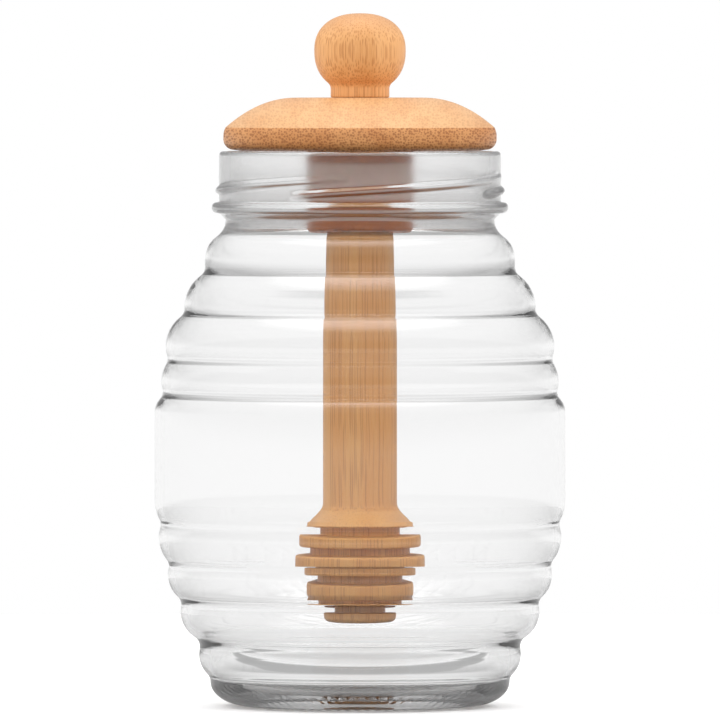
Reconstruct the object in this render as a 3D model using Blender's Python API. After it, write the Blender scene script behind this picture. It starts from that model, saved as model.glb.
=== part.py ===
"""A beehive-shaped glass honey jar with a turned bamboo lid, and a dipper that hangs inside it.

Metres, +Z up. The origin is the middle of the jar's foot, on the surface that the jar stands on.
Every piece is turned: an outline of (radius, height) points, spun round the Z axis.
"""

import math

import bmesh
import bpy
import numpy as np

# Gap between two pieces that touch on the real object, and the distance within which points are one
GAP = 0.0003
MERGE_DISTANCE = 0.000002

# Flat facets round each piece, and the turn between two points of an arc
JAR_FACETS = 36
LID_FACETS = 32
SMALL_FACETS = 24
DIPPER_FACETS = 20
WIDE_ARC_STEP = math.radians(22)
SMALL_ARC_STEP = math.radians(46)
DOME_ARC_STEP = math.radians(9)
SHARP_EDGE = math.radians(35)

# Rings of the glass wall, from the shoulder down to the foot: top and bottom of the upright
# part, and the outer radius there. The fifth ring is the wide plain belt.
RINGS = (
    (0.1020, 0.1002, 0.0354),
    (0.0910, 0.0910, 0.0401),
    (0.0820, 0.0820, 0.0444),
    (0.0740, 0.0740, 0.0454),
    (0.0672, 0.0467, 0.0469),
    (0.0385, 0.0385, 0.0460),
    (0.0300, 0.0300, 0.0439),
    (0.0214, 0.0214, 0.0410),
    (0.0117, 0.0117, 0.0368),
    (0.0054, 0.0054, 0.0342),
)
# Where the arcs of two neighbouring rings cross, before the groove is rounded: height and radius
GROOVES = (
    (0.0991, 0.0348),
    (0.0896, 0.0397),
    (0.0790, 0.0436),
    (0.0709, 0.0444),
    (0.0416, 0.0453),
    (0.0324, 0.0433),
    (0.0240, 0.0404),
    (0.0149, 0.0361),
    (0.0064, 0.0339),
)
GROOVE_FILLET = 0.0011

# Foot: a flat ring that the jar stands on, with a shallow push-up inside it. The shares say
# where points lie on the push-up and on the floor inside, as parts of their radius.
FOOT_OUTER_RADIUS = 0.0255
FOOT_INNER_RADIUS = 0.0225
PUSH_UP = 0.0025
PUSH_UP_SHARES = (1.0, 0.9, 0.65, 0.35, 0.0)
FLOOR_SHARES = (0.0, 0.35, 0.7)

# Neck: shoulder arc, waist, bead and rounded rim
SHOULDER_ARC = 0.0063
WAIST_HEIGHT = 0.1110
WAIST_RADIUS = 0.0307
BEAD_HEIGHT = 0.1137
BEAD_RADIUS = 0.0339
BEAD_ROUND = 0.0013
BEAD_ARC_START = math.radians(60)
BEAD_ARC_END = math.radians(-110)
NECK_RADIUS = 0.0322
JAR_HEIGHT = 0.1266
RIM_ROUND = 0.0010

# Inside of the glass: the wall follows the outer rings, softened over this distance
WALL = 0.0024
INSIDE_SOFTNESS = 0.0020
INSIDE_STEP = 0.0034
SLICE = 0.0001
FLOOR_HEIGHT = 0.0050
FLOOR_DOME = 0.0008
FLOOR_CORNER = 0.0060

# Thread lugs: four ridges a quarter turn apart, which climb anticlockwise seen from above
LUGS = 4
LUG_START = math.radians(-30)
LUG_SPAN = math.radians(115)
LUG_LOW = 0.1166
LUG_CLIMB = 0.0128
LUG_HALF_HEIGHT = 0.0021
LUG_DEPTH = 0.0017
LUG_FADED = 0.18
LUG_LEAD_IN = math.radians(6)
THREAD_ROW = 0.0009

# Lid: flat underside, rounded side band up to an arris, domed top with a flat middle
LID_BOTTOM = JAR_HEIGHT + GAP
LID_TOP = 0.1388
LID_RADIUS = 0.0312
LID_WIDEST = 0.1300
LID_SIDE = (0.0310, 0.1311)
LID_ARRIS = (0.0303, 0.1321)
LID_CORNER = 0.0024
LID_FLAT_TOP = 0.0162

# Knob: a slightly flattened ball on a short neck
KNOB_RADIUS = 0.01044
KNOB_MIDDLE = 0.14955
KNOB_ABOVE = 0.0085
KNOB_BELOW = 0.0095
KNOB_POWER = 2.3
KNOB_NECK_RADIUS = 0.0067
KNOB_NECK_TOP = 0.1414

# Boss under the lid, with a shallow recess for the soft sleeve
BOSS_RADIUS = 0.0118
BOSS_BOTTOM = 0.1094
BOSS_ROUND = 0.0018
SLEEVE_TOP = 0.1232
SLEEVE_BOTTOM = 0.1148
SLEEVE_THICKNESS = 0.0012

# Tenons that hold the turned pieces to each other, and the blind sockets they sit in
TENON_RADIUS = 0.0040
LID_TENON = 0.0042
DIPPER_TENON = 0.0080

# Dipper: a tapered stick that flares out to a rim, a neck under the rim, and a head of turned
# discs with narrow grooves. The last disc is the tip.
STICK_TOP_RADIUS = 0.0075
STICK_RADIUS = 0.00845
STICK_TAPER_END = 0.0830
STICK_FOOT = 0.0465
FLARE_TOP = 0.0423
FLARE_RADIUS = 0.0124
FLARE_RIM = 0.0012
FLARE_POWER = 2.5
FLARE_SHARES = (0.45, 0.8)
HEAD_NECK_RADIUS = 0.0091
DISC_RADII = (0.0139, 0.0148, 0.0127, 0.0122, 0.0120, 0.0083)
DISC_THICKNESS = 0.0020
DISC_PITCH = 0.00345
FIRST_DISC = 0.0372
DISC_GROOVE = 0.0025
TIP_FLAT = 0.0066
TIP_EASE = 0.0007


def arc(centre, radius, start, end, step):
    """Points of a circle round centre from one angle to another, about one in every step."""
    count = max(2, math.ceil(abs(end - start) / step) + 1)
    angles = np.linspace(start, end, count)
    return centre + radius * np.stack([np.cos(angles), np.sin(angles)], axis=1)


def angle_of(vector):
    return math.atan2(vector[1], vector[0])


def ring_circle(height, radius, groove):
    """Centre and radius of the circle that stands upright at a ring's crest and runs to a groove."""
    groove_height, groove_radius = groove
    bulge = radius - groove_radius
    rise = abs(height - groove_height)
    size = (bulge**2 + rise**2) / (2 * bulge)
    return np.array([radius - size, height]), size


def circle_outside(centre_a, size_a, centre_b, size_b, size):
    """Centre of the circle of this size that touches circles a and b from outside, off the axis."""
    along = centre_b - centre_a
    apart = np.linalg.norm(along)
    along = along / apart
    across = np.array([-along[1], along[0]])
    if across[0] < 0:
        across = -across
    reach_a = size_a + size
    reach_b = size_b + size
    forward = (reach_a**2 - reach_b**2 + apart**2) / (2 * apart)
    return centre_a + forward * along + math.sqrt(reach_a**2 - forward**2) * across


def groove_outline(upper, lower, groove):
    """From the crest of the upper ring, round the groove, to the crest of the lower ring."""
    centre_a, size_a = ring_circle(upper[1], upper[2], groove)
    centre_b, size_b = ring_circle(lower[0], lower[2], groove)
    ball = circle_outside(centre_a, size_a, centre_b, size_b, GROOVE_FILLET)
    leave = angle_of(ball - centre_a)
    arrive = angle_of(ball - centre_b)
    return np.concatenate(
        [
            arc(centre_a, size_a, 0, leave, WIDE_ARC_STEP),
            arc(ball, GROOVE_FILLET, leave + math.pi, arrive + math.pi, SMALL_ARC_STEP),
            arc(centre_b, size_b, arrive, 0, WIDE_ARC_STEP),
        ]
    )


def rings_outline():
    """The ringed wall from the shoulder's crest down to the widest line of the foot."""
    return np.concatenate([groove_outline(*pair) for pair in zip(RINGS, RINGS[1:], GROOVES)])


def shoulder_outline():
    """From the waist under the bead, down the hollow curve and over the shoulder's crest."""
    top, _, radius = RINGS[0]
    centre = np.array([radius - SHOULDER_ARC, top])
    inward = WAIST_RADIUS - centre[0]
    rise = WAIST_HEIGHT - top
    hollow = (inward**2 + rise**2 - SHOULDER_ARC**2) / (2 * (SHOULDER_ARC - inward))
    hollow_centre = np.array([WAIST_RADIUS + hollow, WAIST_HEIGHT])
    turn = angle_of(hollow_centre - centre)
    return np.concatenate(
        [
            arc(hollow_centre, hollow, math.pi, math.pi + turn, WIDE_ARC_STEP),
            arc(centre, SHOULDER_ARC, turn, 0, WIDE_ARC_STEP),
        ]
    )


def neck_outline():
    """From the inner edge of the rim, over it and down the threaded neck to the bead."""
    inner = NECK_RADIUS - WALL
    top = JAR_HEIGHT - RIM_ROUND
    bead_centre = np.array([BEAD_RADIUS - BEAD_ROUND, BEAD_HEIGHT])
    bead_top = BEAD_HEIGHT + BEAD_ROUND
    rows = max(2, round((top - bead_top) / THREAD_ROW))
    heights = np.linspace(top, bead_top, rows)[1:]
    face = np.stack([np.full(len(heights), NECK_RADIUS), heights], axis=1)
    return np.concatenate(
        [
            arc((inner + RIM_ROUND, top), RIM_ROUND, math.pi, math.pi / 2, SMALL_ARC_STEP),
            arc((NECK_RADIUS - RIM_ROUND, top), RIM_ROUND, math.pi / 2, 0, SMALL_ARC_STEP),
            face,
            arc(bead_centre, BEAD_ROUND, BEAD_ARC_START, BEAD_ARC_END, SMALL_ARC_STEP),
        ]
    )


def foot_outline():
    """Heel, flat standing ring and push-up, in to the axis. The heel is a quarter of an ellipse."""
    height, _, radius = RINGS[-1]
    turn = np.linspace(0, math.pi / 2, 5)[1:]
    reach = radius - FOOT_OUTER_RADIUS
    heel = np.stack([FOOT_OUTER_RADIUS + reach * np.cos(turn), height - height * np.sin(turn)], axis=1)
    share = np.array(PUSH_UP_SHARES)
    push_up = np.stack([FOOT_INNER_RADIUS * share, PUSH_UP * (1 - share**4)], axis=1)
    return np.concatenate([heel, push_up])


def inside_outline(outside):
    """From the floor's middle up the wall. The wall is the mean of the outside, less its thickness."""
    order = np.argsort(outside[:, 1])
    reach = 3 * INSIDE_SOFTNESS
    fine = np.arange(0, JAR_HEIGHT + 2 * reach, SLICE)
    outer = np.interp(fine, outside[order, 1], outside[order, 0])
    weight = np.exp(-0.5 * (np.arange(-reach, reach, SLICE) / INSIDE_SOFTNESS) ** 2)
    soft = np.convolve(outer, weight / weight.sum(), mode="same") - WALL
    corner_height = FLOOR_HEIGHT + FLOOR_CORNER
    corner_radius = float(np.interp(corner_height, fine, soft))
    turn = np.linspace(-math.pi / 2, 0, 5)
    corner = np.stack(
        [
            corner_radius - FLOOR_CORNER + FLOOR_CORNER * np.cos(turn),
            corner_height + FLOOR_CORNER * np.sin(turn),
        ],
        axis=1,
    )
    share = np.array(FLOOR_SHARES)
    floor = np.stack(
        [corner[0, 0] * share, FLOOR_HEIGHT + FLOOR_DOME * (1 - share**2)], axis=1
    )
    top = JAR_HEIGHT - RIM_ROUND
    rows = round((top - corner_height) / INSIDE_STEP)
    heights = np.linspace(corner_height, top, rows)[1:-1]
    wall = np.stack([np.interp(heights, fine, soft), heights], axis=1)
    return np.concatenate([floor, corner, wall])


def lug_depth(azimuth, height):
    """How far a lug stands out: a ridge with a squared-cosine section, which fades as it climbs."""
    depth = np.zeros_like(azimuth)
    for lug in range(LUGS):
        along = np.mod(azimuth - LUG_START - lug * math.tau / LUGS, math.tau)
        middle = LUG_LOW + LUG_CLIMB * along / math.tau
        across = np.cos(math.pi / 2 * np.clip((height - middle) / LUG_HALF_HEIGHT, -1, 1)) ** 2
        fade = 1 + (LUG_FADED - 1) * np.clip(along / LUG_SPAN, 0, 1) ** 2
        lead_in = np.clip(along / LUG_LEAD_IN, 0, 1)
        ridge = LUG_DEPTH * across * fade * lead_in * (along <= LUG_SPAN)
        depth = np.maximum(depth, ridge)
    return depth


def turned(name, outline, facets, material):
    """Spins an outline of (radius, height) points, from the axis or closed on itself, into one solid."""
    outline = np.asarray(outline)
    steps = np.linalg.norm(np.diff(outline, axis=0), axis=1)
    outline = outline[np.append(True, steps > MERGE_DISTANCE)]
    shape = bmesh.new()
    points = [shape.verts.new((radius, 0, height)) for radius, height in outline]
    pairs = list(zip(points, points[1:]))
    if outline[0][0] > 0:
        pairs.append((points[-1], points[0]))
    edges = [shape.edges.new(pair) for pair in pairs]
    bmesh.ops.spin(
        shape,
        geom=points + edges,
        cent=(0, 0, 0),
        axis=(0, 0, 1),
        angle=math.tau,
        steps=facets,
        use_merge=True,
    )
    bmesh.ops.remove_doubles(shape, verts=shape.verts, dist=MERGE_DISTANCE)
    bmesh.ops.recalc_face_normals(shape, faces=shape.faces)
    mesh = bpy.data.meshes.new(name)
    shape.to_mesh(mesh)
    shape.free()
    mesh.shade_smooth()
    mesh.set_sharp_from_angle(angle=SHARP_EDGE)
    mesh.materials.append(material)
    item = bpy.data.objects.new(name, mesh)
    bpy.context.scene.collection.objects.link(item)
    return item


def raise_lugs(mesh):
    """Moves the outer points of the neck out by the lugs' depth."""
    places = np.empty(len(mesh.vertices) * 3, np.float32)
    mesh.vertices.foreach_get("co", places)
    places = places.reshape(-1, 3).astype(float)
    radius = np.hypot(places[:, 0], places[:, 1])
    azimuth = np.arctan2(places[:, 1], places[:, 0])
    depth = lug_depth(azimuth, places[:, 2]) * (np.abs(radius - NECK_RADIUS) < MERGE_DISTANCE)
    places[:, :2] *= (1 + depth / NECK_RADIUS)[:, None]
    mesh.vertices.foreach_set("co", places.astype(np.float32).ravel())
    mesh.update()


def principled(name, colour, roughness, transmission=0.0):
    material = bpy.data.materials.new(name)
    material.use_nodes = True
    shader = material.node_tree.nodes["Principled BSDF"]
    shader.inputs["Base Color"].default_value = (*colour, 1)
    shader.inputs["Roughness"].default_value = roughness
    shader.inputs["Metallic"].default_value = 0
    shader.inputs["Transmission Weight"].default_value = transmission
    return material


def make_glass_jar(material):
    outside = np.concatenate(
        [neck_outline(), shoulder_outline(), rings_outline(), foot_outline()]
    )
    smooth_side = np.concatenate(
        [
            [(NECK_RADIUS, JAR_HEIGHT), (NECK_RADIUS, BEAD_HEIGHT)],
            shoulder_outline(),
            rings_outline(),
        ]
    )
    outline = np.concatenate([inside_outline(smooth_side), outside])
    jar = turned("glass_jar", outline, JAR_FACETS, material)
    raise_lugs(jar.data)
    return jar


def make_lid(material):
    """Disc with a blind socket in the middle of its top and another in its underside."""
    socket = TENON_RADIUS + GAP
    under_socket = LID_BOTTOM + LID_TENON + GAP
    top_socket = LID_TOP - LID_TENON - GAP
    corner = np.array([LID_RADIUS - LID_CORNER, LID_BOTTOM + LID_CORNER])
    fall = LID_TOP - LID_ARRIS[1]
    reach = LID_ARRIS[0] - LID_FLAT_TOP
    dome = (fall**2 + reach**2) / (2 * fall)
    dome_centre = np.array([LID_FLAT_TOP, LID_TOP - dome])
    arris = angle_of(np.array(LID_ARRIS) - dome_centre)
    outline = np.concatenate(
        [
            [(0, under_socket), (socket, under_socket), (socket, LID_BOTTOM)],
            arc(corner, LID_CORNER, -math.pi / 2, 0, WIDE_ARC_STEP),
            [(LID_RADIUS, LID_WIDEST), LID_SIDE],
            arc(dome_centre, dome, arris, math.pi / 2, DOME_ARC_STEP),
            [(socket, LID_TOP), (socket, top_socket), (0, top_socket)],
        ]
    )
    return turned("lid", outline, LID_FACETS, material)


def make_knob(material):
    """Ball from |r/R|^p + |z/H|^p = 1, taller below its middle than above, on its neck and tenon."""
    neck_turn = math.asin((KNOB_NECK_RADIUS / KNOB_RADIUS) ** (KNOB_POWER / 2))
    turns = np.append(np.linspace(neck_turn, math.pi / 2, 5), np.linspace(math.pi / 2, math.pi, 7))
    side = np.abs(np.sin(turns)) ** (2 / KNOB_POWER)
    side[-1] = 0
    level = -np.sign(np.cos(turns)) * np.abs(np.cos(turns)) ** (2 / KNOB_POWER)
    ball = np.stack(
        [KNOB_RADIUS * side, KNOB_MIDDLE + np.where(level < 0, KNOB_BELOW, KNOB_ABOVE) * level],
        axis=1,
    )
    seat = LID_TOP + GAP
    outline = [
        (0, LID_TOP - LID_TENON),
        (TENON_RADIUS, LID_TOP - LID_TENON),
        (TENON_RADIUS, seat),
        (KNOB_NECK_RADIUS, seat),
        (KNOB_NECK_RADIUS, KNOB_NECK_TOP),
        *ball,
    ]
    return turned("knob", outline, SMALL_FACETS, material)


def make_boss(material):
    """Plug under the lid: a tenon up into it, a recess for the sleeve and a socket for the dipper."""
    top = LID_BOTTOM - GAP
    recess = BOSS_RADIUS - SLEEVE_THICKNESS - GAP
    socket = TENON_RADIUS + GAP
    socket_top = BOSS_BOTTOM + DIPPER_TENON + GAP
    corner = np.array([BOSS_RADIUS - BOSS_ROUND, BOSS_BOTTOM + BOSS_ROUND])
    outline = np.concatenate(
        [
            [
                (0, LID_BOTTOM + LID_TENON),
                (TENON_RADIUS, LID_BOTTOM + LID_TENON),
                (TENON_RADIUS, top),
                (BOSS_RADIUS, top),
                (BOSS_RADIUS, SLEEVE_TOP + GAP),
                (recess, SLEEVE_TOP + GAP),
                (recess, SLEEVE_BOTTOM - GAP),
                (BOSS_RADIUS, SLEEVE_BOTTOM - GAP),
            ],
            arc(corner, BOSS_ROUND, 0, -math.pi / 2, WIDE_ARC_STEP),
            [(socket, BOSS_BOTTOM), (socket, socket_top), (0, socket_top)],
        ]
    )
    return turned("lid_boss", outline, SMALL_FACETS, material)


def make_sleeve(material):
    """Soft ring in the boss's recess, flush with the wood above and below it."""
    inner = BOSS_RADIUS - SLEEVE_THICKNESS
    outline = [
        (inner, SLEEVE_TOP),
        (BOSS_RADIUS, SLEEVE_TOP),
        (BOSS_RADIUS, SLEEVE_BOTTOM),
        (inner, SLEEVE_BOTTOM),
    ]
    return turned("seal_sleeve", outline, SMALL_FACETS, material)


def make_dipper(material):
    """Tenon, tapered stick, flare, neck, a stack of discs with grooves between them, and a tip."""
    shoulder = BOSS_BOTTOM - GAP
    tenon_top = BOSS_BOTTOM + DIPPER_TENON
    outline = [
        (0, tenon_top),
        (TENON_RADIUS, tenon_top),
        (TENON_RADIUS, shoulder),
        (STICK_TOP_RADIUS, shoulder),
        (STICK_RADIUS, STICK_TAPER_END),
        (STICK_RADIUS, STICK_FOOT),
    ]
    flare_out = FLARE_RADIUS - STICK_RADIUS
    flare_down = STICK_FOOT - FLARE_TOP
    for share in FLARE_SHARES:
        outline.append((STICK_RADIUS + flare_out * share**FLARE_POWER, STICK_FOOT - flare_down * share))
    outline.append((FLARE_RADIUS, FLARE_TOP))
    outline.append((FLARE_RADIUS, FLARE_TOP - FLARE_RIM))
    outline.append((HEAD_NECK_RADIUS, FLARE_TOP - FLARE_RIM))
    cores = [HEAD_NECK_RADIUS]
    cores += [min(pair) - DISC_GROOVE for pair in zip(DISC_RADII, DISC_RADII[1:])]
    for index, radius in enumerate(DISC_RADII):
        top = FIRST_DISC - index * DISC_PITCH + DISC_THICKNESS / 2
        if index:
            outline.append((cores[index], top + DISC_PITCH - DISC_THICKNESS))
        outline.append((cores[index], top))
        outline.append((radius, top))
        outline.append((radius, top - DISC_THICKNESS))
    tip_radius, tip_height = outline.pop()
    outline.append((tip_radius, tip_height + TIP_EASE))
    outline.append((TIP_FLAT, tip_height))
    outline.append((0, tip_height))
    return turned("dipper", outline, DIPPER_FACETS, material)


def main():
    for item in list(bpy.data.objects):
        bpy.data.objects.remove(item)
    glass = principled("clear_glass", (0.93, 0.95, 0.95), 0.02, 1.0)
    bamboo = principled("turned_bamboo", (0.83, 0.50, 0.24), 0.5)
    silicone = principled("milky_silicone", (0.42, 0.33, 0.30), 0.4)
    make_glass_jar(glass)
    make_lid(bamboo)
    make_knob(bamboo)
    make_boss(bamboo)
    make_sleeve(silicone)
    make_dipper(bamboo)


main()
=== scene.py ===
# %% [markdown]
# # A beehive-shaped honey jar
#
# The object is a jar of clear pressed glass with a bamboo lid. A ball knob stands on the lid, and a
# honey dipper hangs under it, inside the jar. The CAD model gives every piece its place and size,
# but it has flat facets, because it is also used for collisions. Glass shows each facet, so all six
# pieces are turned again here, finely, from nearly the same sizes.

import math

import bpy
import numpy as np
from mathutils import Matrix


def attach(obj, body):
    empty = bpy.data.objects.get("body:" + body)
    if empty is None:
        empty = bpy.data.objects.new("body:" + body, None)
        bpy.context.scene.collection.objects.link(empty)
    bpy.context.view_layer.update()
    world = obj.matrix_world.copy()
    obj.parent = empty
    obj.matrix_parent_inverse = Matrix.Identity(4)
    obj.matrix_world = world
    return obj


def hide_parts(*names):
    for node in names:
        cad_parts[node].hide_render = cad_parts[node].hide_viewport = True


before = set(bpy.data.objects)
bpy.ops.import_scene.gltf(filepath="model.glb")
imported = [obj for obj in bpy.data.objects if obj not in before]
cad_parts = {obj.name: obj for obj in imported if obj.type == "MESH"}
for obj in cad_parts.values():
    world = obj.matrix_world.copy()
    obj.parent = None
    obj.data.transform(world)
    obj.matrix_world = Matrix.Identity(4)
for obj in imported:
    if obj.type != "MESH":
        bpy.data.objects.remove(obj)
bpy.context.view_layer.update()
scene = bpy.context.scene
print("CAD nodes:", sorted(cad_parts))

# %% [markdown]
# ## Camera
#
# A product photograph of a small jar is taken from far away with a long lens, so that its rings
# look like straight lines. Here the camera is 3 m away and a little higher than the rim. Lens
# length over sensor width is distance over the width of the picture at the jar.

# %% Camera at the photograph's viewing angle
CAMERA_PLACE = (0.0, -3.0, 0.147)
AIM_HEIGHT = 0.0789
PICTURE_WIDTH = 0.1644
SENSOR_WIDTH = 36.0
CLIP_END = 20.0

camera = bpy.data.objects.new("camera", bpy.data.cameras.new("camera"))
scene.collection.objects.link(camera)
camera.location = CAMERA_PLACE
drop = CAMERA_PLACE[2] - AIM_HEIGHT
camera.rotation_euler = (math.pi / 2 - math.atan2(drop, -CAMERA_PLACE[1]), 0, 0)
camera.data.sensor_width = SENSOR_WIDTH
camera.data.lens = SENSOR_WIDTH * math.hypot(drop, CAMERA_PLACE[1]) / PICTURE_WIDTH
camera.data.clip_end = CLIP_END
scene.camera = camera
print("lens, mm:", round(camera.data.lens))

# %% [markdown]
# ## Studio
#
# Clear glass has no colour of its own. What we see is the room, bent and mirrored, so the room
# decides the look. Photographers stand glass before a bright white wall and keep a darker band just
# above it: the straight parts of the glass then look white, and every groove, which bends the view
# upwards, gets a grey line. Above the band come a pale ceiling and a big soft lamp, which give the
# bright streaks on each ring. All this depends on how high one looks and not on the direction, so
# the jar looks alike from all sides, and the world's nodes alone can make it.
#
# Wood wants softer light than glass: dim from below, brightest from above. The Light Path node
# counts how often light has met a matt surface, so the room can give the wood its own light. Glass
# takes some of it away, so wood behind glass gets more. The camera sees the plain white backdrop.

# %% Helper that adds a shader node
def add_node(tree, kind, inputs=None, **settings):
    """Adds a node of this kind. An input's value is a number, a colour or another node's output."""
    node = tree.nodes.new(kind)
    for setting, value in settings.items():
        setattr(node, setting, value)
    for socket, value in (inputs or {}).items():
        if isinstance(value, bpy.types.NodeSocket):
            tree.links.new(value, node.inputs[socket])
        else:
            node.inputs[socket].default_value = value
    return node


def ramp(tree, value, start, end, low=0.0, high=1.0):
    """Output that goes smoothly from low to high while value goes from start to end."""
    inputs = {"Value": value, "From Min": start, "From Max": end, "To Min": low, "To Max": high}
    node = add_node(tree, "ShaderNodeMapRange", inputs, interpolation_type="SMOOTHSTEP")
    return node.outputs["Result"]


def calculate(tree, operation, first, second):
    """Output of a Math node with two inputs."""
    return add_node(tree, "ShaderNodeMath", {0: first, 1: second}, operation=operation).outputs[0]


# %% White wall, dark band, ceiling and overhead lamp
# strengths of light, then angles above the horizon, in degrees, between which one part of the room
# goes over into the next
BACKDROP = 1.0
WALL_LIGHT = 1.01
SHADE_LIGHT = 0.46
CEILING_LIGHT = 0.75
LAMP_LIGHT = 3.2
WALL_TOP = (0.5, 5.5)
CEILING_EDGE = (15.0, 36.0)
LAMP_EDGE = (52.0, 74.0)
# the wood's light: it goes from the first strength to the second between these sines of the angle
MATT_SINES = (-0.6, 0.9)
MATT_LIGHT = (0.46, 1.86)
THROUGH_GLASS = 1.5

world = bpy.data.worlds.new("white_room")
world.use_nodes = True
scene.world = world
tree = world.node_tree
direction = add_node(tree, "ShaderNodeTexCoord").outputs["Generated"]
sine = add_node(tree, "ShaderNodeSeparateXYZ", {0: direction}).outputs["Z"]
edges = np.radians([WALL_TOP, CEILING_EDGE, LAMP_EDGE])
wall_sines, ceiling_sines, lamp_sines = np.sin(edges).tolist()
wall = ramp(tree, sine, *wall_sines, WALL_LIGHT, SHADE_LIGHT)
ceiling = ramp(tree, sine, *ceiling_sines, 0.0, CEILING_LIGHT - SHADE_LIGHT)
lamp = ramp(tree, sine, *lamp_sines, 0.0, LAMP_LIGHT - CEILING_LIGHT)
room = calculate(tree, "ADD", wall, calculate(tree, "ADD", ceiling, lamp))
light_path = add_node(tree, "ShaderNodeLightPath").outputs
behind_glass = ramp(tree, light_path["Transmission Depth"], 0.0, 1.0, 1.0, THROUGH_GLASS)
matt_light = calculate(tree, "MULTIPLY", ramp(tree, sine, *MATT_SINES, *MATT_LIGHT), behind_glass)
lit = ramp(tree, light_path["Diffuse Depth"], 0.0, 1.0, room, matt_light)
seen = ramp(tree, light_path["Is Camera Ray"], 0.0, 1.0, lit, BACKDROP)
background = tree.nodes["Background"]
tree.links.new(seen, background.inputs["Strength"])
background.inputs["Color"].default_value = (1, 1, 1, 1)
world.cycles.sampling_method = "NONE"
print("light of wall, shade, ceiling, lamp:", WALL_LIGHT, SHADE_LIGHT, CEILING_LIGHT, LAMP_LIGHT)

# %% [markdown]
# Two weak lamps, left and right and a little above, light the knob's cheeks and the lid's ends. They
# are for matt surfaces only: the glass neither mirrors them nor shows them.

# %% Soft lamps left and right, for the wood
SIDE_LAMP_PLACE = (1.1, -0.15, 0.45)
SIDE_LAMP_SIZE = (0.5, 0.9)
SIDE_LAMP_POWER = 2.2

for side in (-1, 1):
    light = bpy.data.lights.new("side_lamp", "AREA")
    light.shape = "RECTANGLE"
    light.size, light.size_y = SIDE_LAMP_SIZE
    light.energy = SIDE_LAMP_POWER
    lamp_object = bpy.data.objects.new("side_lamp", light)
    place = np.array([side * SIDE_LAMP_PLACE[0], *SIDE_LAMP_PLACE[1:]])
    lamp_object.location = place
    inward = np.array([0, 0, AIM_HEIGHT]) - place
    lamp_object.rotation_euler = (
        math.acos(-inward[2] / np.linalg.norm(inward)),
        0,
        math.atan2(inward[1], inward[0]) - math.pi / 2,
    )
    lamp_object.visible_camera = False
    lamp_object.visible_transmission = False
    lamp_object.visible_glossy = False
    scene.collection.objects.link(lamp_object)
print("side lamps, W:", SIDE_LAMP_POWER)

# %% [markdown]
# A look through the jar crosses four faces of glass, and light inside the wall is thrown back and
# forth more often than that, so the renderer must follow it for long. The Standard view keeps white
# paper white.

# %% Light bounces and view
GLASS_BOUNCES = 24
MIRROR_BOUNCES = 12

scene.cycles.max_bounces = GLASS_BOUNCES
scene.cycles.transmission_bounces = GLASS_BOUNCES
scene.cycles.glossy_bounces = MIRROR_BOUNCES
scene.view_settings.view_transform = "Standard"
print("bounces through glass:", GLASS_BOUNCES)

# %% [markdown]
# ## The lathe
#
# Every piece was turned or pressed in a round mould, so each is an outline of (radius, height)
# points carried round the Z axis. A Screw modifier can do that too. Working the grid out with numpy
# leaves us free to push single points in or out, which the thread and the knurled foot need.

# %% Curves that outlines are made of
ONE_POINT = 0.000002
WIDEST_STEP = math.radians(20)


def arc(centre, radius, start, end, spacing):
    """Points of a circle: centre + radius (cos a, sin a), a from start to end, about spacing apart."""
    least = math.ceil(abs(end - start) / WIDEST_STEP)
    count = max(2, least + 1, math.ceil(abs(end - start) * radius / spacing) + 1)
    angles = np.linspace(start, end, count)
    return centre + radius * np.stack([np.cos(angles), np.sin(angles)], axis=1)


def eased(corners, ease, steps=4):
    """Straight lines with eased corners. A corner B becomes (1-s)^2 A + 2 s (1-s) B + s^2 C.

    A and C lie on the lines to its neighbours, ease away from B, or half-way if that is nearer.
    """
    corners = np.asarray(corners, float)
    eases = np.broadcast_to(ease, len(corners) - 2)
    share = np.linspace(0, 1, steps + 1)[:, None]
    parts = [corners[:1]]
    for before, corner, after, amount in zip(corners, corners[1:], corners[2:], eases):
        back = before - corner
        on = after - corner
        start = corner + back * min(0.5, amount / np.linalg.norm(back))
        end = corner + on * min(0.5, amount / np.linalg.norm(on))
        parts.append((1 - share) ** 2 * start + 2 * share * (1 - share) * corner + share**2 * end)
    parts.append(corners[-1:])
    return np.concatenate(parts)


def without_repeats(outline):
    """The outline without points that lie on the one before them."""
    steps = np.linalg.norm(np.diff(outline, axis=0), axis=1)
    return outline[np.append(True, steps > ONE_POINT)]


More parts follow.
